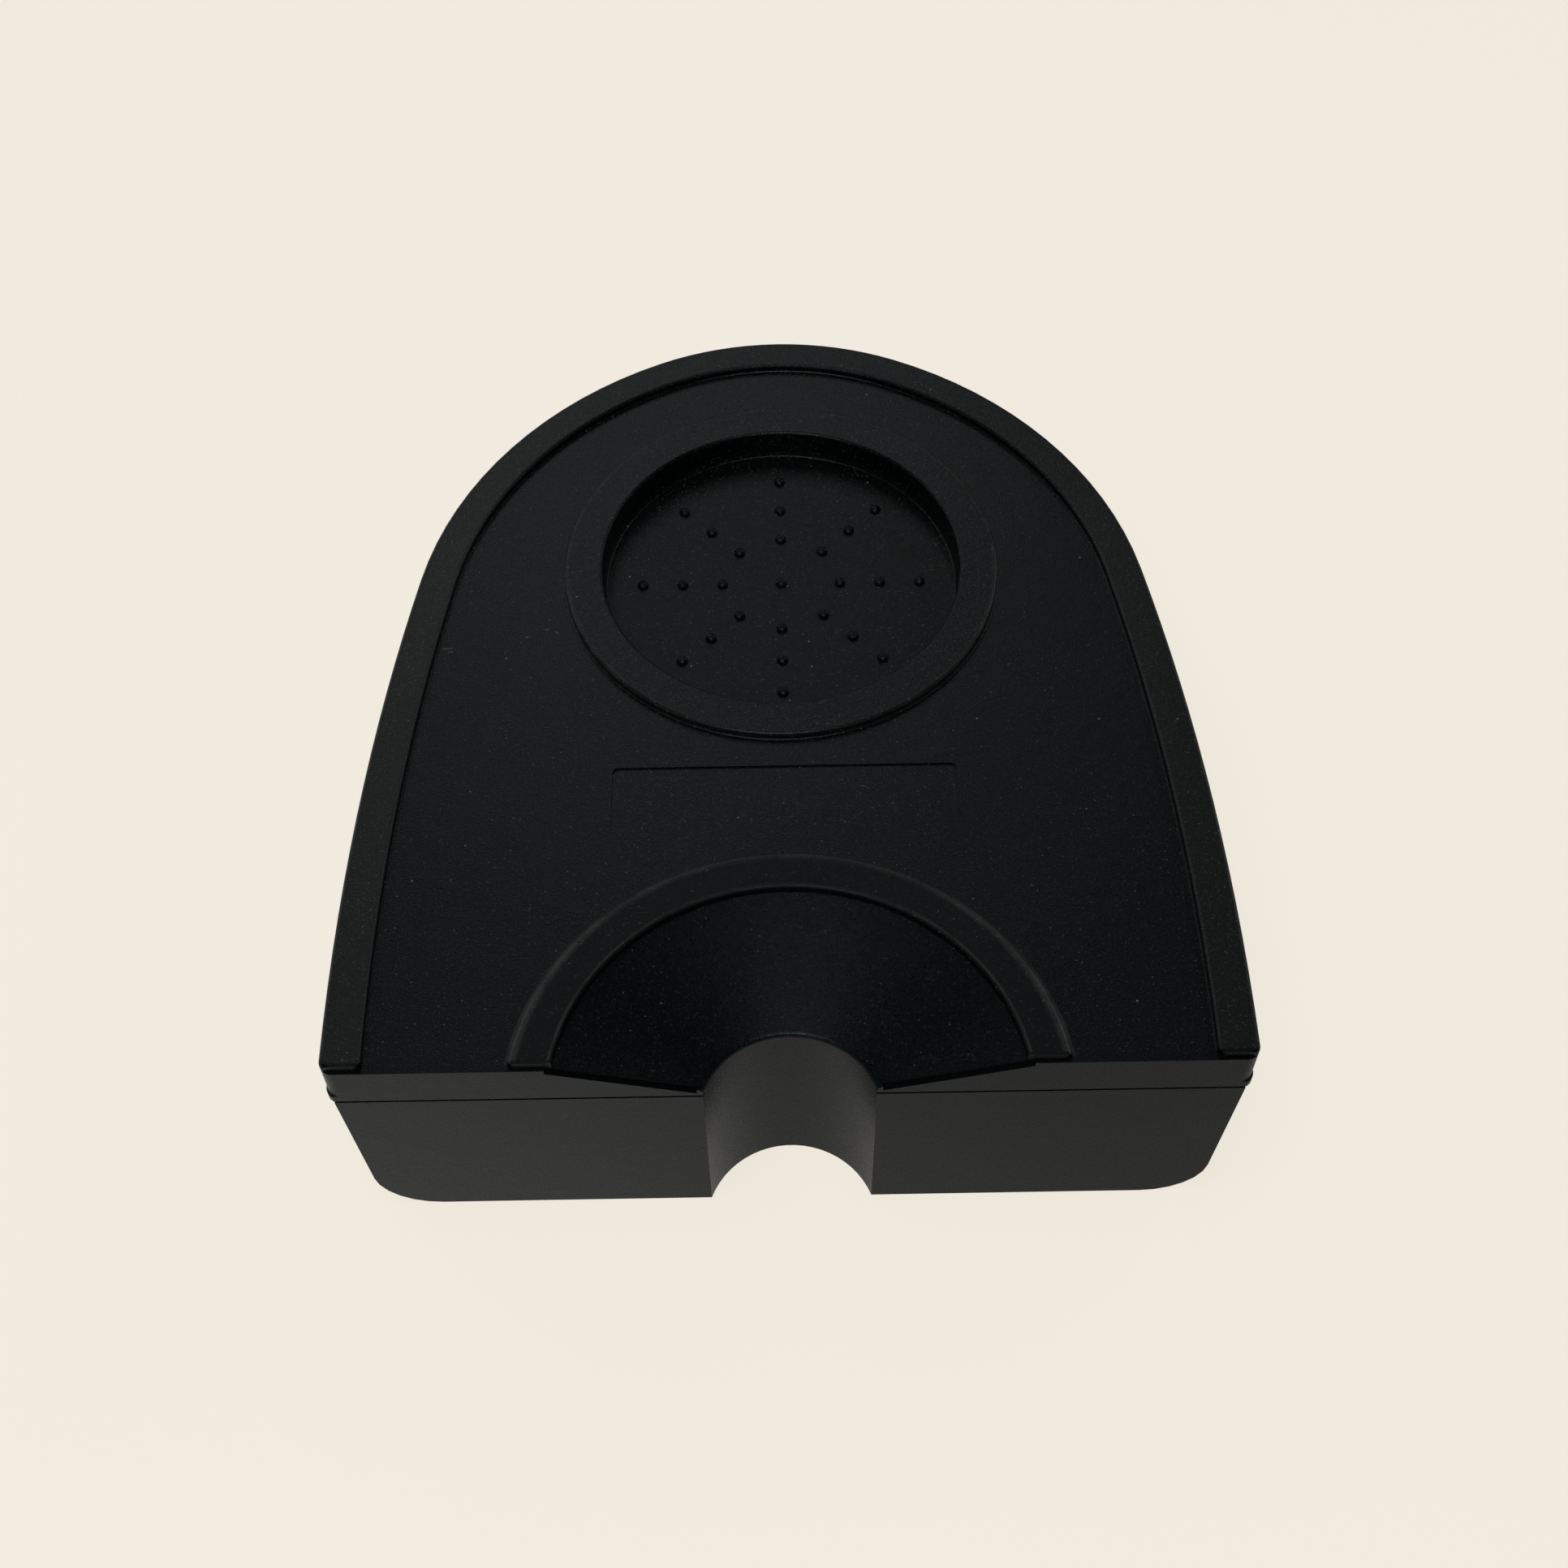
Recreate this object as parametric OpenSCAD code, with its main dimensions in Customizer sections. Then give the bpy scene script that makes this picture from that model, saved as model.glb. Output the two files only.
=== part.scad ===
// Corner mat for tamping coffee: a D-shaped rubber slab that lies on the counter, with a deep lip that
// hangs over the counter's front edge. A ringed recess with grip nubs holds the tamper, and a half-round
// dish falls to a notch where the filter's spout rests.
// The origin is on the recess axis in the plane of the underside, +Y runs to the rounded back.

/* [Outline] */
// Radius of the rounded back
back_r = 50.5; // [46:0.5:54]
// Turn of the back arc to each side of the middle, in degrees
back_turn = 24.6; // [22:0.1:27]
// Radius of the shoulders
shoulder_r = 68.3; // [65:0.1:71]
// Turn at which a shoulder runs into the side, in degrees
shoulder_turn = 80.2; // [79:0.1:82]
// Radius of the nearly straight sides
side_r = 470; // [420:5:560]
// From the recess axis to the back edge
back_reach = 52.6; // [50:0.1:56]
// From the recess axis to the front face
front_reach = 93.9; // [90:0.1:98]

/* [Slab] */
// Thickness of the slab at its field
slab_t = 8.4; // [7:0.1:12]
// Height of the border, the ring and the band above the field
step_h = 1.35; // [1.1:0.05:1.6]
// Width of the border along the sides and the back
border_w = 6; // [4:0.1:8]
// Rounding of the slab's outer top edge
edge_round = 0.7; // [0.3:0.1:1.5]
// Rounding along the top of the small steps
step_round = 0.5; // [0.3:0.05:0.6]
// Fillet along the foot of the small steps
step_foot = 0.3; // [0.1:0.05:0.4]
// How far the border and the band stop behind the front face
end_back = 0.5; // [0.2:0.1:1.5]
// Corner radius of the border's and the band's ends, seen from above
end_corner = 1.3; // [0.5:0.1:2]
// Radius of the slab's upright front corners
front_corner = 1.8; // [0.8:0.1:2.5]

/* [Recess] */
// Diameter of the recess wall
recess_d = 59.5; // [52:0.1:62]
// Depth of the recess below its ring
recess_depth = 5.45; // [3.5:0.05:6]
// Rounding of the recess rim
rim_round = 0.5; // [0.3:0.1:1]
// Fillet at the foot of the recess wall
recess_foot = 0.35; // [0.2:0.05:0.5]
// Height of the tapered part of the wall above the floor
taper_h = 1; // [0.95:0.05:1.5]
// How far the wall leans in over that part
taper_in = 0.2; // [0.05:0.05:0.3]
// Width of the ring around the recess
ring_w = 6.3; // [5:0.1:9]

/* [Grip nubs] */
// Diameter of a nub at the floor
nub_d = 1.9; // [1.2:0.1:3]
// Height of a nub
nub_h = 0.9; // [0.5:0.05:0.9]
// From the middle nub to the first row
nub_first = 9.9; // [6:0.1:11]
// Pitch of the rows beyond the first
nub_pitch = 6.7; // [4:0.1:7]
// Rows of nubs on each spoke
nub_rows = 3; // [1:1:3]
// Spokes of nubs around the middle
nub_spokes = 8; // [4:1:12]
// How far the nub pattern sits ahead of the recess axis
nub_ahead = 0.3; // [0:0.1:1]

/* [Panel] */
// Length of the sunk panel
panel_l = 53.6; // [30:0.1:58]
// Width of the sunk panel
panel_w = 11.7; // [8:0.1:13]
// Depth of the sunk panel
panel_depth = 0.3; // [0.2:0.1:0.8]
// Corner radius of the sunk panel
panel_corner = 1; // [0.5:0.1:2]
// From the recess axis to the panel's middle
panel_ahead = 47; // [45.5:0.1:48]

/* [Dish and notch] */
// How far the common axis of dish and notch lies ahead of the front face
axis_ahead = 4.6; // [3:0.1:7]
// Radius of the dish
dish_r = 34.1; // [30:0.1:36]
// Level of the dish floor at its outer edge, above the underside
dish_high = 8.2; // [7.8:0.1:8.4]
// Level of the dish floor at the notch, above the underside
dish_low = 1.6; // [1.2:0.1:3]
// Width of the raised band around the dish
band_w = 6.45; // [4:0.05:8]
// Rounding along the band's outer edge, as far as its step leaves room
band_round = 1; // [0.3:0.1:1.3]
// Radius of the notch
notch_r = 13.4; // [10:0.1:16]
// Rounding of the notch's upper rim
notch_round = 0.8; // [0.4:0.1:1]
// Depth of the rebate in the front face below the dish
rebate_d = 0.7; // [0.3:0.1:1.5]
// Height of that rebate
rebate_h = 1; // [0.5:0.1:1.2]

/* [Lip] */
// How far the lip hangs below the underside
lip_drop = 34.8; // [25:0.1:45]
// Thickness of the lip, front to back
lip_t = 16; // [13:0.5:20]
// How far the lip's ends stand inside the slab's
lip_inset = 0.7; // [0.4:0.1:2]
// Inward slope of the lip's ends, in degrees
lip_draft = 3.3; // [0:0.1:6]
// Radius of the lip's lower corners
lip_corner_r = 9.5; // [4:0.5:14]

/* [Parting line] */
// How far the parting bead stands proud of the slab's wall
bead_out = 0.3; // [0.1:0.05:0.5]
// Height of the parting bead
bead_h = 1.8; // [1:0.1:2.5]
// Height of the groove between slab and lip
groove_h = 0.45; // [0.2:0.05:0.8]
// Depth of that groove
groove_d = 0.45; // [0.2:0.05:0.8]

/* [Hidden] */
$fn = 180;
// Steps of one quarter turn in a small rounding, along the top and the foot of a step, and round a nub
quarter_steps = 6;
top_steps = 4;
foot_steps = 3;
nub_steps = 24;
// Points along each arc of one half of the outline
outline_steps = [8, 16, 16];
// Overlap that lets a cutter pass a face
over = 2;
// How far the slab's skin is turned past the front face before it is cut off, in degrees
turn_past = 0.5;
// Room ahead of the front face that this cut clears
front_room = 10;
top_z = slab_t + step_h;
floor_z = top_z - recess_depth;
recess_r = recess_d / 2;
ring_r = recess_r + ring_w;
band_r = dish_r + band_w;
dish_y = -front_reach - axis_ahead;
dish_slope = (dish_high - dish_low) / (dish_r - notch_r);
// Centres of the outline's three arcs, each on the line through the joint with the arc before
back_c = [0, back_reach - back_r];
shoulder_c = back_c - (shoulder_r - back_r) * turn(back_turn);
side_c = shoulder_c - (side_r - shoulder_r) * turn(shoulder_turn);
// Turn at which the side arc passes the front face, and a little beyond
front_turn = 90 + asin((front_reach + side_c[1]) / side_r);
end_turn = front_turn + turn_past;
// Half the slab's width at its front face
front_half = side_c[0] + side_r * sin(front_turn);
// Centre of the right-hand upright front corner, on the side arc moved inwards by the corner's radius
corner_c = [side_x(front_corner, front_corner - front_reach), front_corner - front_reach];

// Direction at a turn from +Y towards +X
function turn(a) = [sin(a), cos(a)];

// Where the side arc, moved inwards, passes a given Y
function side_x(inset, y) = side_c[0] + sqrt(pow(side_r - inset, 2) - pow(y - side_c[1], 2));

// Points on an arc about c, from angle a to angle b
function arc(c, r, a, b, n = quarter_steps) =
    [for (i = [0:n]) c + r * [cos(a + (b - a) * i / n), sin(a + (b - a) * i / n)]];

// Points on an outline arc moved inwards, from turn a up to but not including turn b
function edge(c, r, a, b, inset, n) =
    [for (i = [0:n - 1]) c + (r - inset) * turn(a + (b - a) * i / n)];

// Right half of the outline, moved inwards, from the back to beyond the front face
function half_outline(inset) = concat(
    edge(back_c, back_r, 0, back_turn, inset, outline_steps[0]),
    edge(shoulder_c, shoulder_r, back_turn, shoulder_turn, inset, outline_steps[1]),
    edge(side_c, side_r, shoulder_turn, end_turn, inset, outline_steps[2]),
    [side_c + (side_r - inset) * turn(end_turn)]
);

// The same points mirrored, in reverse order, up to but not including number first
function mirrored(points, first = 0) =
    [for (i = [len(points) - 1:-1:first]) [-points[i][0], points[i][1]]];

// Section through the slab's rim as [inset, height]: parting bead, wall, rounded edge, border, and the
// rounded and filleted step down to the field
function rim_section() = concat(
    [[-bead_out, 0], [-bead_out, bead_h - bead_out], [0, bead_h]],
    arc([edge_round, top_z - edge_round], edge_round, 180, 90),
    arc([border_w - step_round, top_z - step_round], step_round, 90, 0, top_steps),
    arc([border_w + step_foot, slab_t + step_foot], step_foot, 180, 270, foot_steps)
);

// The slab with its border: the outline at each point of the rim section, skinned into one solid
module slab() {
    section = rim_section();
    rings = [
        for (s = section)
            let (half = half_outline(s[0]))
            [for (p = concat(half, mirrored(half, 1))) [p[0], p[1], s[1]]]
    ];
    n = len(rings[0]);
    last = len(rings) - 1;
    points = [for (ring = rings, p = ring) p];
    bottom = [for (j = [n - 1:-1:0]) j];
    top = [for (j = [0:n - 1]) last * n + j];
    walls = [
        for (i = [0:last - 1], j = [0:n - 1])
            let (next = (j + 1) % n)
            [i * n + j, i * n + next, (i + 1) * n + next, (i + 1) * n + j]
    ];
    polyhedron(points = points, faces = concat([bottom], walls, [top]));
}

// Cross-section of a flat rib from inner radius a to outer radius b, rounded by top_round on its outer side
module rib_section(a, b, low, top_round) {
    polygon(concat(
        [[a, low], [b + step_foot, low]],
        arc([b + step_foot, slab_t + step_foot], step_foot, -90, -180),
        arc([b - top_round, top_z - top_round], top_round, 0, 90),
        [[a, top_z]]
    ));
}

// Ring around the recess
module ring() {
    rotate_extrude()
        rib_section(recess_r - over, ring_r, slab_t / 2, step_round);
}

// Recess for the tamper: filleted foot, slightly tapered lower wall, straight upper wall, rounded rim
module recess() {
    rotate_extrude()
        polygon(concat(
            [[0, floor_z]],
            arc([recess_r - taper_in - recess_foot, floor_z + recess_foot], recess_foot, -90, 0),
            [[recess_r, floor_z + taper_h]],
            arc([recess_r + rim_round, top_z - rim_round], rim_round, 180, 90),
            [[recess_r + rim_round, top_z + over], [0, top_z + over]]
        ));
}

// A domed nub, as the cap of a ball that meets the floor at the nub's diameter
module nub() {
    ball_r = (pow(nub_d / 2, 2) + pow(nub_h, 2)) / (2 * nub_h);
    intersection() {
        translate([0, 0, nub_h - ball_r])
            sphere(r = ball_r, $fn = nub_steps);
        translate([0, 0, -step_h / 2])
            cylinder(d = nub_d + over, h = nub_h + over);
    }
}

module nubs() {
    translate([0, -nub_ahead, floor_z]) {
        nub();
        for (spoke = [0:nub_spokes - 1], row = [0:nub_rows - 1])
            rotate(spoke * 360 / nub_spokes)
                translate([nub_first + row * nub_pitch, 0, 0])
                    nub();
    }
}

// Raised band around the dish, ending just behind the front face
module band() {
    intersection() {
        translate([0, dish_y, 0])
            rotate_extrude()
                rib_section(dish_r - over, band_r, slab_t / 2, min(band_round, step_h - step_foot));
        translate([-band_r - over, end_back - front_reach, 0])
            cube([2 * (band_r + over), band_r + over, top_z + over]);
    }
}

function dish_z(r) = dish_low + (r - notch_r) * dish_slope;

// Notch through slab and lip, its rounded rim, and the dish that falls towards it
module dish_and_notch() {
    fall = atan(dish_slope);
    rim_c = [notch_r + notch_round, dish_z(notch_r + notch_round * (1 - tan(fall / 2))) - notch_round];
    translate([0, dish_y, 0])
        rotate_extrude()
            polygon(concat(
                [[0, -lip_drop - over], [notch_r, -lip_drop - over]],
                arc(rim_c, notch_round, 180, 90 + fall),
                [[dish_r, dish_z(dish_r)]],
                arc([dish_r + step_round, top_z - step_round], step_round, 180, 90),
                [[dish_r + step_round, top_z + over], [0, top_z + over]]
            ));
}

// Rebate along the front edge of the dish, which follows the dish's slope
module rebate() {
    inner = notch_r + notch_round;
    outer = dish_r + 2 * step_round;
    intersection() {
        translate([0, dish_y, 0])
            rotate_extrude()
                polygon([
                    [inner, dish_z(inner) - rebate_h],
                    [outer, dish_z(outer) - rebate_h],
                    [outer, top_z + over],
                    [inner, top_z + over]
                ]);
        translate([-outer, -front_reach - over, 0])
            cube([2 * outer, rebate_d + over, top_z + 2 * over]);
    }
}

// Shallow panel with rounded corners, left bare
module panel() {
    flat_l = panel_l / 2 - panel_corner;
    flat_w = panel_w / 2 - panel_corner;
    translate([0, -panel_ahead, slab_t - panel_depth])
        linear_extrude(panel_depth + over)
            polygon(concat(
                arc([flat_l, flat_w], panel_corner, 0, 90),
                arc([-flat_l, flat_w], panel_corner, 90, 180),
                arc([-flat_l, -flat_w], panel_corner, 180, 270),
                arc([flat_l, -flat_w], panel_corner, 270, 360)
            ));
}

// Front view of one half of the lip, with a sloped end and a rounded lower corner
function half_lip() =
    let (
        end_x = front_half - lip_inset,
        corner_x = end_x - (lip_drop - lip_corner_r) * tan(lip_draft) - lip_corner_r / cos(lip_draft),
        corner = [corner_x, lip_corner_r - lip_drop]
    )
    concat([[end_x, slab_t / 2], [end_x, 0]], arc(corner, lip_corner_r, -lip_draft, -90));

// The lip that hangs over the counter's edge
module lip() {
    half = half_lip();
    translate([0, lip_t - front_reach, 0])
        rotate([90, 0, 0])
            linear_extrude(lip_t)
                polygon(concat(half, mirrored(half)));
}

// Groove along the front where the lip meets the slab
module groove() {
    translate([-front_half - over, -front_reach - over, -groove_h / 2])
        cube([2 * (front_half + over), over + groove_d, groove_h]);
}

// Everything ahead of the front face, and the tops of the border's ends
module front_cut() {
    wide = front_half + over;
    translate([-wide, -front_reach - front_room, -over])
        cube([2 * wide, front_room, top_z + 2 * over]);
    translate([-wide, -front_reach - over, slab_t])
        cube([2 * wide, over + end_back, step_h + over]);
}

// Takes the slab's right-hand upright front corner off, from the foot of the groove to above the border.
// What stays is turned about the corner's centre, with the parting bead and the rounded top edge on it
module front_corner_cut() {
    foot = -groove_h / 4;
    inner = front_corner - edge_round;
    side_turn = atan2(corner_c[1] - side_c[1], corner_c[0] - side_c[0]);
    reach = front_corner + bead_out + over;
    translate([corner_c[0], corner_c[1], 0])
        difference() {
            translate([0, 0, foot])
                linear_extrude(top_z + over - foot)
                    polygon([
                        [0, 0],
                        [0, -reach],
                        [reach, -reach],
                        [reach, reach * tan(side_turn)]
                    ]);
            rotate_extrude()
                polygon(concat(
                    [[0, foot - over], [front_corner + bead_out, foot - over]],
                    [[front_corner + bead_out, bead_h - bead_out], [front_corner, bead_h]],
                    arc([inner, top_z - edge_round], edge_round, 0, 90),
                    [[inner, top_z + 2 * over], [0, top_z + 2 * over]]
                ));
        }
}

module front_corners() {
    front_corner_cut();
    mirror([1, 0, 0])
        front_corner_cut();
}

// Takes the corner off a raised end at a point on its free edge, rounding it seen from above
module end_corner_cut(at, side) {
    translate([at[0], at[1], slab_t])
        linear_extrude(step_h + over)
            difference() {
                translate([side > 0 ? -over : 0, -over])
                    square([over, over]);
                circle(r = end_corner);
            }
}

// Rounds the inner corners of the border's ends and the outer corners of the band's ends
module end_corners() {
    end_y = end_back - front_reach;
    border_x = side_x(border_w, end_y);
    band_x = sqrt(pow(band_r, 2) - pow(end_y - dish_y, 2));
    for (side = [-1, 1]) {
        end_corner_cut([side * (border_x + end_corner), end_y + end_corner], side);
        end_corner_cut([side * (band_x - end_corner), end_y + end_corner], -side);
    }
}

module mat() {
    color("#202222")
        difference() {
            union() {
                slab();
                ring();
                band();
                lip();
            }
            front_cut();
            front_corners();
            end_corners();
            recess();
            panel();
            dish_and_notch();
            rebate();
            groove();
        }
    color("#202222")
        nubs();
}

mat();
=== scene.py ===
"""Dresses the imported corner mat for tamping: moulded black rubber on a pale table, in soft studio light.

The mat's own solid stays as it is. This script adds its rubber, the table, the lamps and the camera. All
lengths are in metres.
"""

import math
from types import SimpleNamespace

import bpy
import numpy as np
from bpy.props import FloatProperty, FloatVectorProperty, PointerProperty
from mathutils import Euler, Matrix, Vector


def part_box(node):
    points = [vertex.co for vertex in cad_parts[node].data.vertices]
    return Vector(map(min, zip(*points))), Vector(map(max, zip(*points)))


bl_info = {
    "name": "Tamper mat",
    "version": (1, 0, 0),
    "blender": (4, 5, 0),
    "location": "3D View > Sidebar > Tamper mat",
    "description": "Dresses a moulded rubber corner mat for tamping and sets its stage",
    "category": "Object",
}

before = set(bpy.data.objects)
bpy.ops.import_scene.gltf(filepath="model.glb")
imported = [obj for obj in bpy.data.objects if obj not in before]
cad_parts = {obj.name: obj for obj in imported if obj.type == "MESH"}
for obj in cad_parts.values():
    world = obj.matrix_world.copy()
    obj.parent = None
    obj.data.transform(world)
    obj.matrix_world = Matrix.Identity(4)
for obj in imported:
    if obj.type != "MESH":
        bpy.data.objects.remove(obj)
LOW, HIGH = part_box("mat")
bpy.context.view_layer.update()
MM = 0.001

# The border, the ring and the band stand this far above the field
STEP_H = 1.35 * MM
FIELD_Z = HIGH.z - STEP_H
# A place counts as raised from the first level on, and fully from the second
RAISED = (FIELD_Z + 0.6 * MM, FIELD_Z + 1.2 * MM)
# The recess stands on the origin's axis, with the ring around it
RECESS_R = 29.75 * MM
RING_W = 6.3 * MM
RING_R = RECESS_R + RING_W
# The dish's axis stands ahead of the front face, with the band around the dish
DISH_AHEAD = 4.6 * MM
DISH_Y = LOW.y - DISH_AHEAD
DISH_R = 34.1 * MM
BAND_W = 6.45 * MM
BAND_R = DISH_R + BAND_W
# The finish changes from that of the band to that of the field between these radii
BAND_END = (BAND_R - 2 * MM, BAND_R - MM)
# The recess floor lies below the first level, and nothing of it above the second
FLOOR_TOP = (5.5 * MM, 6.5 * MM)
# Dust and the painted light lie behind the front face and above the lip: where they begin and where they
# are full
DUST_AND_LIGHT_FRONT = (LOW.y + 0.9 * MM, LOW.y + 1.3 * MM)
DUST_AND_LIGHT_BASE = (0.8 * MM, 1.5 * MM)

# Colour of the reflections
REFLECTION_TINT = (0.86, 0.97, 1.0, 1)
# Detail and roughness of the fine noise, and the sizes of a lump and of a patch of film in grains
FINE_DETAIL = 3.0
FINE_ROUGH = 0.6
LUMP_GRAINS = 12
FILM_GRAINS = 1.4
# Roughness follows the middle of the grain's range by this much to each side
GRAIN_SPAN = (0.3, 0.7)
ROUGH_SWING = 0.06
# Added roughness of the band and of the recess floor
BAND_DULL = 0.14
FLOOR_DULL = 0.08
# Relief: rise of the lumps and depth of the pinholes in grain heights, then the bump's own values
LUMP_RISE = 0.6
PINHOLE_DEPTH = 6.0
BUMP_STRENGTH = 0.5
BUMP_REACH = 0.12 * MM

# Film of dust: the range of noise in which it comes up, its most, and the share left on band and dish
FILM_SPAN = (0.57, 0.80)
FILM_MOST = 0.30
FILM_ON_BAND = 0.6
# Painted light on the border: its strength ahead of the recess's axis, and from a given Y on towards the
# back
BORDER_LIGHT = 0.050
BORDER_LIGHT_BACK = 0.010
BORDER_BACK_Y = 45 * MM
# Share of the border's painted light that is left at the far right
BORDER_LIGHT_RIGHT = 0.65
# Painted edge highlights of ring, band and dish: radius, how far each reaches to both sides of it, and
# strength
RING_HIGHLIGHT = {"edge_r": RING_R, "inside": MM, "outside": 0.3 * MM, "strength": 0.5}
BAND_HIGHLIGHT = {"edge_r": BAND_R, "inside": 1.9 * MM, "outside": 0.6 * MM, "strength": 1.0}
DISH_HIGHLIGHT = {"edge_r": DISH_R + 0.55 * MM, "inside": 0.4 * MM, "outside": 0.25 * MM, "strength": 0.8}
# Share of the inside reach where the painted highlight is full
HIGHLIGHT_CORE = 0.4
# The lumps break the painted highlights up: a range of noise, and the strengths at its ends
HIGHLIGHT_LUMPS = (0.3, 0.6, 0.45, 1.0)
# The painted highlights are stronger at the sides: distances from the middle, and the strengths there
HIGHLIGHT_SIDES = (8 * MM, 36 * MM, 0.05, 0.15)
# Flecks of dust: spacing, radius, share of the cells that hold one, and strength
FLECKS = (
    (1.1 * MM, 0.14 * MM, 0.30, 0.45),
    (3.8 * MM, 0.20 * MM, 0.32, 0.80),
)
# Share of a fleck's radius, and of a mark's half sizes, that is covered in full
FLECK_CORE = 0.5
MARK_CORE = 0.6
# Pinholes in the front face: X and Z in millimetres, and the radius
PINHOLES = ((-56.6, 1.3), (-13.2, -16.6), (12.7, -30.0))
PINHOLE_R = 0.36 * MM
# Rubbed marks on the field: X, Y, length in millimetres and turn in degrees
RUBS = (
    (-54.6, -16.6, 1.9, 0),
    (-53.9, -17.3, 1.2, 0),
    (-41.6, -14.4, 1.0, 35),
    (-38.4, -12.9, 1.0, 15),
    (-36.8, -13.6, 0.9, -50),
    (28.7, -14.6, 1.4, 20),
)
# Half the width and half the depth of such a mark, and its strength
RUB_HALF_W = 0.13 * MM
RUB_HALF_DEPTH = MM
RUB_STRENGTH = 0.4

# The table lies this far below the lip, and is dull
TABLE_GAP = 0.2 * MM
TABLE_ROUGHNESS = 0.9
# Square lamps, all turned to the origin: name, place, side, power, and whether reflections show it
LAMPS = (
    ("key", (-0.3, -0.5, 1.9), 1.4, 22, False),
    ("back_glow", (-0.150, 1.218, 1.316), 0.85, 3.9, True),
    ("top_glow", (-0.05, 0.12, 1.80), 0.36, 0.9, True),
    ("left_glow", (-0.96, 0.67, 0.675), 0.45, 1.8, True),
    ("right_glow", (0.96, 0.67, 0.675), 0.4, 2.0, True),
    ("edge_light", (-0.1, -0.75, 1.0), 0.5, 6.5, True),
)
# Width of the camera's sensor in millimetres, and the nearest thing that it sees
SENSOR_WIDTH = 36
NEAR_CLIP = 10 * MM


class MatSettings(bpy.types.PropertyGroup):
    """Finish of the rubber."""

    rubber: FloatVectorProperty(
        name="Rubber", description="Colour of the rubber", subtype="COLOR", size=3,
        default=(0.0004, 0.0009, 0.0010), min=0, max=1,
    )
    # Colour of the dust, which also paints the light on the border and the highlights along the edges
    dust_and_light_colour: FloatVectorProperty(
        name="Dust", description="Colour of the dust and of rubbed places", subtype="COLOR", size=3,
        default=(0.100, 0.101, 0.096), min=0, max=1,
    )
    roughness: FloatProperty(
        name="Roughness", description="Roughness of the moulded skin", default=0.31, min=0, max=1
    )
    gloss: FloatProperty(
        name="Gloss", description="Strength of the skin's reflection", default=0.15, min=0, max=1
    )
    grain: FloatProperty(
        name="Grain size", description="Width of one grain of the moulded skin",
        default=0.3 * MM, min=0.05 * MM, max=2 * MM, unit="LENGTH",
    )


class StageSettings(bpy.types.PropertyGroup):
    """Table, light and camera."""

    table: FloatVectorProperty(
        name="Table", description="Colour of the table", subtype="COLOR", size=3,
        default=(0.887, 0.831, 0.745), min=0, max=1,
    )
    table_glow: FloatProperty(
        name="Even table", description="Share of the table's colour that shadows leave alone",
        default=0.85, min=0, max=1,
    )
    # The rubber mirrors a table glow darker than its colour and dimmer to the right: painted shade in the
    # reflections
    mirrored_table: FloatVectorProperty(
        name="Mirrored table", description="Colour of the table as the rubber mirrors it",
        subtype="COLOR", size=3, default=(0.62, 0.605, 0.595), min=0, max=1,
    )
    table_slope: FloatProperty(
        name="Table slope",
        description="How much darker the mirrored table is on the right",
        default=0.42, min=0, max=1,
    )
    sky: FloatProperty(
        name="Sky", description="Strength of the even light all around", default=0.02, min=0
    )
    camera_at: FloatVectorProperty(
        name="Camera", description="Where the camera stands", subtype="XYZ", size=3, unit="LENGTH",
        default=(-0.00040, -0.23355, 0.27330),
    )
    camera_turn: FloatVectorProperty(
        name="Camera turn", description="Turn of the camera about X, Y and Z", subtype="EULER",
        size=3, default=(math.radians(35.4785), math.radians(0.5144), math.radians(-0.8064)),
    )
    lens: FloatProperty(
        name="Lens", description="Focal length in millimetres", default=48.22, min=10, max=200
    )


def new_material(name):
    """A new material with its node tree and its shader."""
    material = bpy.data.materials.new(name)
    material.use_nodes = True
    return material, material.node_tree, material.node_tree.nodes["Principled BSDF"]


def node(tree, kind, **inputs):
    """Adds a shader node and sets the named inputs on it."""
    made = tree.nodes.new(kind)
    for name, value in inputs.items():
        made.inputs[name.replace("_", " ")].default_value = value
    return made


def joined(tree, operation, first, *others):
    """Joins values, each a socket or a number, one after another by a Math operation."""
    result = first
    for other in others:
        made = node(tree, "ShaderNodeMath")
        made.operation = operation
        for socket, value in zip(made.inputs, (result, other)):
            if isinstance(value, (int, float)):
                socket.default_value = value
            else:
                tree.links.new(value, socket)
        result = made.outputs[0]
    return result


def stepped(tree, value, low, high, at_low=0.0, at_high=1.0):
    """Turns a value into a smooth step from at_low to at_high between low and high."""
    step = node(tree, "ShaderNodeMapRange", From_Min=low, From_Max=high, To_Min=at_low, To_Max=at_high)
    step.interpolation_type = "SMOOTHSTEP"
    tree.links.new(value, step.inputs["Value"])
    return step.outputs[0]


def noise(tree, place, size, detail=2.0, rough=0.5):
    """Noise with grains of one size, on object coordinates."""
    made = node(tree, "ShaderNodeTexNoise", Scale=1 / size, Detail=detail, Roughness=rough)
    tree.links.new(place, made.inputs["Vector"])
    return made.outputs["Fac"]


def axes_of(tree, vector):
    """The X, Y and Z of a vector."""
    axes = node(tree, "ShaderNodeSeparateXYZ")
    tree.links.new(vector, axes.inputs[0])
    return axes.outputs["X"], axes.outputs["Y"], axes.outputs["Z"]


def length_of(tree, vector):
    """The length of a vector."""
    made = node(tree, "ShaderNodeVectorMath")
    made.operation = "LENGTH"
    tree.links.new(vector, made.inputs[0])
    return made.outputs["Value"]


def mixed_colour(tree, share, first, second):
    """Turns the first colour into the second by a share."""
    made = node(tree, "ShaderNodeMix")
    made.data_type = "RGBA"
    made.inputs["A"].default_value = (*first, 1)
    made.inputs["B"].default_value = (*second, 1)
    tree.links.new(share, made.inputs["Factor"])
    return made.outputs["Result"]


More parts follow.
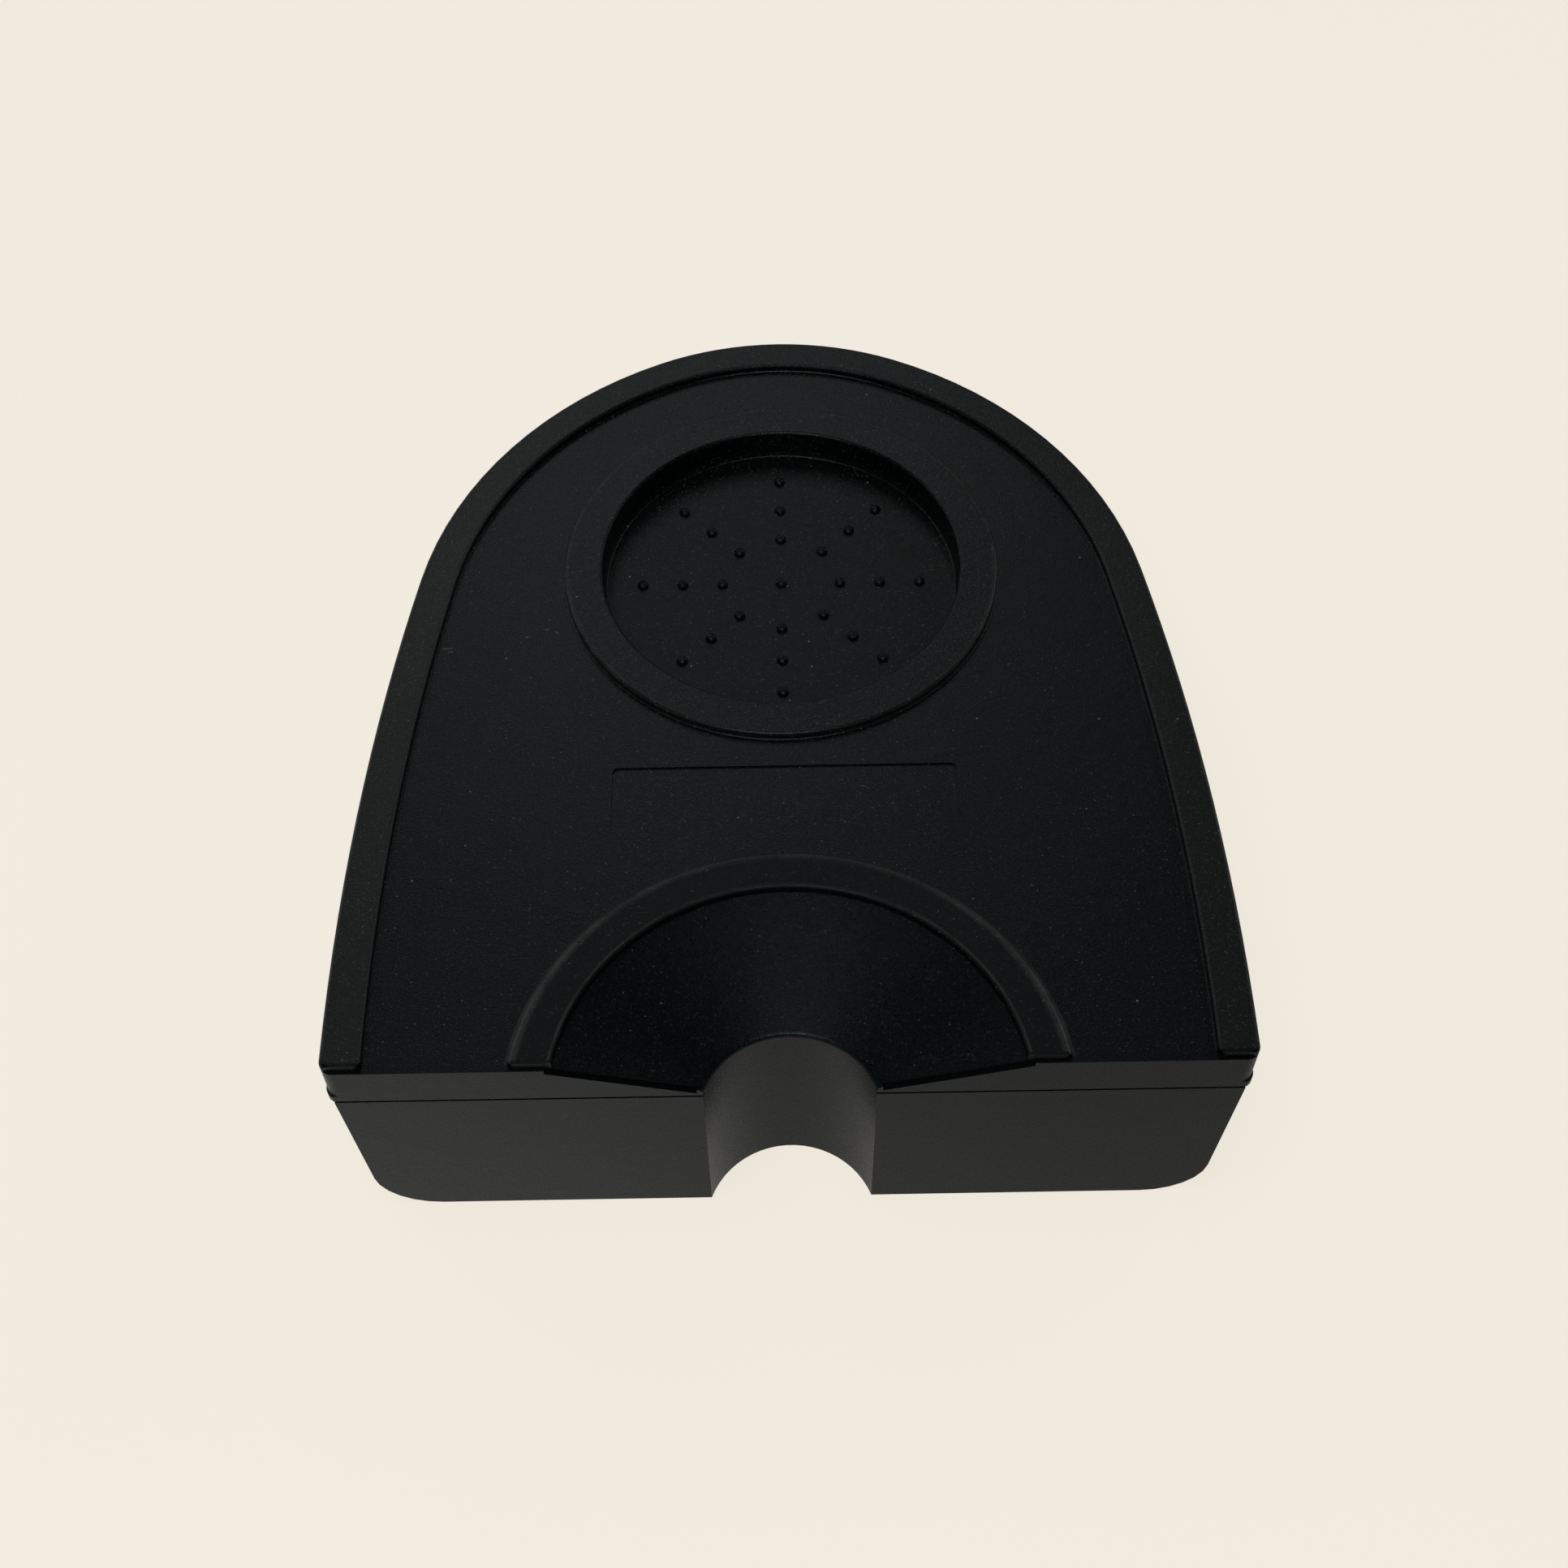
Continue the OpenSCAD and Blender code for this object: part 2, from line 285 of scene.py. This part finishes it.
def flecks(tree, place, spacing, fleck_r, share, strength):
    """Mask of small round flecks: one to a cell of the spacing, in a share of the cells."""
    cells = node(tree, "ShaderNodeTexVoronoi", Scale=1 / spacing, Randomness=1.0)
    tree.links.new(place, cells.inputs["Vector"])
    reach = fleck_r / spacing
    near = stepped(tree, cells.outputs["Distance"], FLECK_CORE * reach, reach, 1.0, 0.0)
    pick = node(tree, "ShaderNodeSeparateColor")
    tree.links.new(cells.outputs["Color"], pick.inputs[0])
    chosen = joined(tree, "LESS_THAN", pick.outputs[0], share)
    return joined(tree, "MULTIPLY", near, chosen, strength)


def mark(tree, place, at, half, turn=0.0):
    """Mask of one mark: an ellipsoid about a point, with half its sizes and its turn about Z."""
    fitted = node(tree, "ShaderNodeMapping", Location=at, Rotation=(0, 0, turn), Scale=half)
    fitted.vector_type = "TEXTURE"
    tree.links.new(place, fitted.inputs["Vector"])
    return stepped(tree, length_of(tree, fitted.outputs[0]), MARK_CORE, 1.0, 1.0, 0.0)


def from_axis(tree, place, y):
    """Distance from an upright axis at X 0 and a given Y."""
    flat = node(tree, "ShaderNodeMapping", Location=(0, -y, 0), Scale=(1, 1, 0))
    tree.links.new(place, flat.inputs["Vector"])
    return length_of(tree, flat.outputs[0])


def edge_highlight(tree, distance, edge_r, inside, outside, strength):
    """Mask of a painted highlight along an edge: it fades in over the distance inside its radius, and out
    beyond it.
    """
    rising = stepped(tree, distance, edge_r - inside, edge_r - HIGHLIGHT_CORE * inside)
    falling = stepped(tree, distance, edge_r, edge_r + outside, 1.0, 0.0)
    return joined(tree, "MULTIPLY", rising, falling, strength)


def mat_places(tree):
    """Where a point of the mat lies: its place, its distance from both axes, and if it is raised."""
    place = node(tree, "ShaderNodeTexCoord").outputs["Object"]
    x, y, z = axes_of(tree, place)
    return SimpleNamespace(
        place=place,
        x=x,
        y=y,
        z=z,
        from_recess=from_axis(tree, place, 0.0),
        from_dish=from_axis(tree, place, DISH_Y),
        raised=stepped(tree, z, *RAISED),
    )


def border_light(tree, at):
    """Painted light on the border, weaker towards the back and the right."""
    beyond_ring = stepped(tree, at.from_recess, RING_R, RING_R + MM)
    beyond_band = stepped(tree, at.from_dish, BAND_R, BAND_R + MM)
    along = stepped(tree, at.y, 0.0, BORDER_BACK_Y, BORDER_LIGHT, BORDER_LIGHT_BACK)
    across = stepped(tree, at.x, LOW.x, HIGH.x, 1.0, BORDER_LIGHT_RIGHT)
    return joined(tree, "MULTIPLY", beyond_ring, beyond_band, at.raised, along, across)


def edge_highlights(tree, at, lumps):
    """Painted highlights along the edges of ring, band and dish, broken up by the lumps and stronger at
    the sides.
    """
    ring = edge_highlight(tree, at.from_recess, **RING_HIGHLIGHT)
    band = edge_highlight(tree, at.from_dish, **BAND_HIGHLIGHT)
    dish = joined(tree, "MULTIPLY", edge_highlight(tree, at.from_dish, **DISH_HIGHLIGHT), at.raised)
    broken_up = stepped(tree, lumps, *HIGHLIGHT_LUMPS)
    from_middle = joined(tree, "MAXIMUM", at.x, joined(tree, "MULTIPLY", at.x, -1.0))
    at_sides = stepped(tree, from_middle, *HIGHLIGHT_SIDES)
    return joined(tree, "MULTIPLY", joined(tree, "MAXIMUM", ring, band, dish), broken_up, at_sides)


def dust_and_light_mask(tree, at, lumps, grain_size):
    """Dust on the top, as film and flecks, with the painted light on the border and along the edges."""
    patches = noise(tree, at.place, FILM_GRAINS * grain_size, FINE_DETAIL, FINE_ROUGH)
    film = stepped(tree, patches, *FILM_SPAN, 0.0, FILM_MOST)
    thinned = stepped(tree, at.from_dish, *BAND_END, FILM_ON_BAND, 1.0)
    film = joined(tree, "MULTIPLY", film, thinned)
    # From here the film also holds the painted light on the border and the painted edge highlights
    film = joined(tree, "ADD", film, border_light(tree, at), edge_highlights(tree, at, lumps))
    specks = [flecks(tree, at.place, *kind) for kind in FLECKS]
    behind_front = stepped(tree, at.y, *DUST_AND_LIGHT_FRONT)
    above_lip = stepped(tree, at.z, *DUST_AND_LIGHT_BASE)
    lying = joined(tree, "MAXIMUM", film, *specks)
    return joined(tree, "MULTIPLY", lying, behind_front, above_lip)


def rub_marks(tree, place):
    """Mask of the rubbed marks on the field."""
    masks = []
    for x, y, length, turn in RUBS:
        half = (length / 2 * MM, RUB_HALF_W, RUB_HALF_DEPTH)
        masks.append(mark(tree, place, (x * MM, y * MM, FIELD_Z), half, math.radians(turn)))
    return joined(tree, "MAXIMUM", *masks)


def pinholes(tree, place):
    """Mask of the pinholes in the front face."""
    half = (PINHOLE_R, PINHOLE_R, PINHOLE_R)
    masks = [mark(tree, place, (x * MM, LOW.y, z * MM), half) for x, z in PINHOLES]
    return joined(tree, "MAXIMUM", *masks)


def skin_roughness(tree, at, grain, middle):
    """Roughness that varies with the grain about its middle; the band and the recess floor are duller."""
    skin = stepped(tree, grain, *GRAIN_SPAN, middle - ROUGH_SWING, middle + ROUGH_SWING)
    band = joined(tree, "MULTIPLY", stepped(tree, at.from_dish, *BAND_END, BAND_DULL, 0.0), at.raised)
    in_recess = stepped(tree, at.from_recess, RECESS_R - MM, RECESS_R, 1.0, 0.0)
    floor = joined(tree, "MULTIPLY", in_recess, stepped(tree, at.z, *FLOOR_TOP, FLOOR_DULL, 0.0))
    return joined(tree, "ADD", skin, band, floor)


def skin_relief(tree, place, grain, lumps):
    """Bump of the grain and the lumps, with the pinholes sunk into it."""
    height = joined(tree, "ADD", joined(tree, "MULTIPLY", lumps, LUMP_RISE), grain)
    sunk = joined(tree, "MULTIPLY", pinholes(tree, place), PINHOLE_DEPTH)
    bump = node(tree, "ShaderNodeBump", Strength=BUMP_STRENGTH, Distance=BUMP_REACH)
    tree.links.new(joined(tree, "SUBTRACT", height, sunk), bump.inputs["Height"])
    return bump.outputs["Normal"]


def rubber_material(settings):
    """Moulded black rubber: a fine grain, soft lumps, dust, painted light on the border and the edges,
    rubbed marks, and pinholes.
    """
    material, tree, shader = new_material("moulded_rubber")
    shader.inputs["Specular IOR Level"].default_value = settings.gloss
    shader.inputs["Specular Tint"].default_value = REFLECTION_TINT
    at = mat_places(tree)
    grain = noise(tree, at.place, settings.grain, FINE_DETAIL, FINE_ROUGH)
    lumps = noise(tree, at.place, LUMP_GRAINS * settings.grain)

    rubbed = joined(tree, "MULTIPLY", rub_marks(tree, at.place), RUB_STRENGTH)
    # Share of the dust colour: dust, rubbed marks, and the painted light on the border and the edges
    dust_and_light_share = joined(tree, "MAXIMUM", dust_and_light_mask(tree, at, lumps, settings.grain), rubbed)
    colour = mixed_colour(tree, dust_and_light_share, settings.rubber, settings.dust_and_light_colour)
    roughness = skin_roughness(tree, at, grain, settings.roughness)
    tree.links.new(colour, shader.inputs["Base Color"])
    tree.links.new(roughness, shader.inputs["Roughness"])
    tree.links.new(skin_relief(tree, at.place, grain, lumps), shader.inputs["Normal"])
    return material


class OBJECT_OT_mat_rubber(bpy.types.Operator):
    """Gives the mat its moulded rubber"""

    bl_idname = "tamper_mat.rubber"
    bl_label = "Mat rubber"

    def execute(self, context):
        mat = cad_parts["mat"]
        mat.material_slots[0].material = rubber_material(context.scene.mat_settings)
        return {"FINISHED"}


def area_lamp(name, at, size, power, in_reflections):
    """Adds a square area lamp at a point, turned to the origin."""
    light = bpy.data.lights.new(name, "AREA")
    light.shape = "SQUARE"
    light.size = size
    light.energy = power
    lamp = bpy.data.objects.new(name, light)
    lamp.visible_glossy = in_reflections
    lamp.location = at
    lamp.rotation_euler = (-Vector(at)).to_track_quat("-Z", "Y").to_euler()
    bpy.context.scene.collection.objects.link(lamp)


def table_material(settings):
    """Pale table: a share of even colour, which its shadows don't reach, over the shaded one.

    Only the camera, reflections and clear things see the even colour. Reflections see it darker, and
    darker still towards the right: painted shade in what the rubber mirrors.
    """
    material, tree, shader = new_material("pale_table")
    shader.inputs["Base Color"].default_value = (*settings.table, 1)
    shader.inputs["Roughness"].default_value = TABLE_ROUGHNESS
    shader.inputs["Specular IOR Level"].default_value = 0.0

    rays = node(tree, "ShaderNodeLightPath").outputs
    mirrored = rays["Is Glossy Ray"]
    across = axes_of(tree, node(tree, "ShaderNodeTexCoord").outputs["Object"])[0]
    dimmed = stepped(tree, across, LOW.x, HIGH.x, 0.0, settings.table_slope)
    even = node(tree, "ShaderNodeEmission")
    colour = mixed_colour(tree, mirrored, settings.table, settings.mirrored_table)
    strength = joined(tree, "SUBTRACT", 1.0, joined(tree, "MULTIPLY", mirrored, dimmed))
    tree.links.new(colour, even.inputs["Color"])
    tree.links.new(strength, even.inputs["Strength"])

    seen = joined(tree, "MAXIMUM", rays["Is Camera Ray"], mirrored, rays["Is Transmission Ray"])
    share = joined(tree, "MULTIPLY", seen, settings.table_glow)
    mix = node(tree, "ShaderNodeMixShader")
    tree.links.new(share, mix.inputs[0])
    tree.links.new(shader.outputs[0], mix.inputs[1])
    tree.links.new(even.outputs[0], mix.inputs[2])
    tree.links.new(mix.outputs[0], tree.nodes["Material Output"].inputs["Surface"])
    return material


def swept_table(level, reach=3.0, sweep=1.5, rise_steps=16, turn_steps=96):
    """Round table whose rim sweeps up into a backdrop.

    A profile of radius and height, a quarter circle that starts level at the reach, is turned about Z,
    and a flat disc fills the middle.
    """
    rise = np.linspace(0, math.pi / 2, rise_steps)
    radii = reach + sweep * np.sin(rise)
    heights = level + sweep * (1 - np.cos(rise))
    turns = np.linspace(0, 2 * math.pi, turn_steps, endpoint=False)
    points = np.stack((
        np.outer(radii, np.cos(turns)),
        np.outer(radii, np.sin(turns)),
        np.outer(heights, np.ones(turn_steps)),
    ), axis=-1)
    first = np.arange(turn_steps)
    after = np.roll(first, -1)
    inner = np.arange(rise_steps - 1)[:, None] * turn_steps
    outer = inner + turn_steps
    walls = np.stack((inner + first, outer + first, outer + after, inner + after), axis=-1)
    mesh = bpy.data.meshes.new("table")
    faces = [first.tolist()] + walls.reshape(-1, 4).tolist()
    mesh.from_pydata(points.reshape(-1, 3).tolist(), [], faces)
    mesh.polygons.foreach_set("use_smooth", np.ones(len(mesh.polygons), dtype=bool))
    return mesh


class OBJECT_OT_mat_stage(bpy.types.Operator):
    """Sets the pale table, the soft lamps and the camera"""

    bl_idname = "tamper_mat.stage"
    bl_label = "Stage"

    def execute(self, context):
        settings = context.scene.stage_settings
        table = swept_table(LOW.z - TABLE_GAP)
        table.materials.append(table_material(settings))
        floor = bpy.data.objects.new("table", table)
        context.scene.collection.objects.link(floor)

        world = bpy.data.worlds.new("room")
        world.use_nodes = True
        background = world.node_tree.nodes["Background"]
        background.inputs["Color"].default_value = (1, 1, 1, 1)
        background.inputs["Strength"].default_value = settings.sky
        context.scene.world = world
        for lamp in LAMPS:
            area_lamp(*lamp)

        lens = bpy.data.cameras.new("camera")
        lens.lens = settings.lens
        lens.sensor_width = SENSOR_WIDTH
        lens.clip_start = NEAR_CLIP
        camera = bpy.data.objects.new("camera", lens)
        camera.location = settings.camera_at
        camera.rotation_euler = Euler(settings.camera_turn, "XYZ")
        context.scene.collection.objects.link(camera)
        context.scene.camera = camera
        context.scene.view_settings.view_transform = "Standard"
        return {"FINISHED"}


class VIEW3D_PT_tamper_mat(bpy.types.Panel):
    """Finishes, stage values and steps of the tamper mat"""

    bl_label = "Tamper mat"
    bl_space_type = "VIEW_3D"
    bl_region_type = "UI"
    bl_category = "Tamper mat"

    def draw(self, context):
        for settings in (context.scene.mat_settings, context.scene.stage_settings):
            for name in settings.bl_rna.properties.keys():
                if name not in ("rna_type", "name"):
                    self.layout.prop(settings, name)
        self.layout.operator("tamper_mat.rubber")
        self.layout.operator("tamper_mat.stage")


CLASSES = (
    MatSettings,
    StageSettings,
    OBJECT_OT_mat_rubber,
    OBJECT_OT_mat_stage,
    VIEW3D_PT_tamper_mat,
)


def register():
    for cls in CLASSES:
        bpy.utils.register_class(cls)
    bpy.types.Scene.mat_settings = PointerProperty(type=MatSettings)
    bpy.types.Scene.stage_settings = PointerProperty(type=StageSettings)


def unregister():
    del bpy.types.Scene.stage_settings
    del bpy.types.Scene.mat_settings
    for cls in reversed(CLASSES):
        bpy.utils.unregister_class(cls)


def main():
    register()
    bpy.ops.tamper_mat.rubber()
    bpy.ops.tamper_mat.stage()


if __name__ == "__main__":
    main()
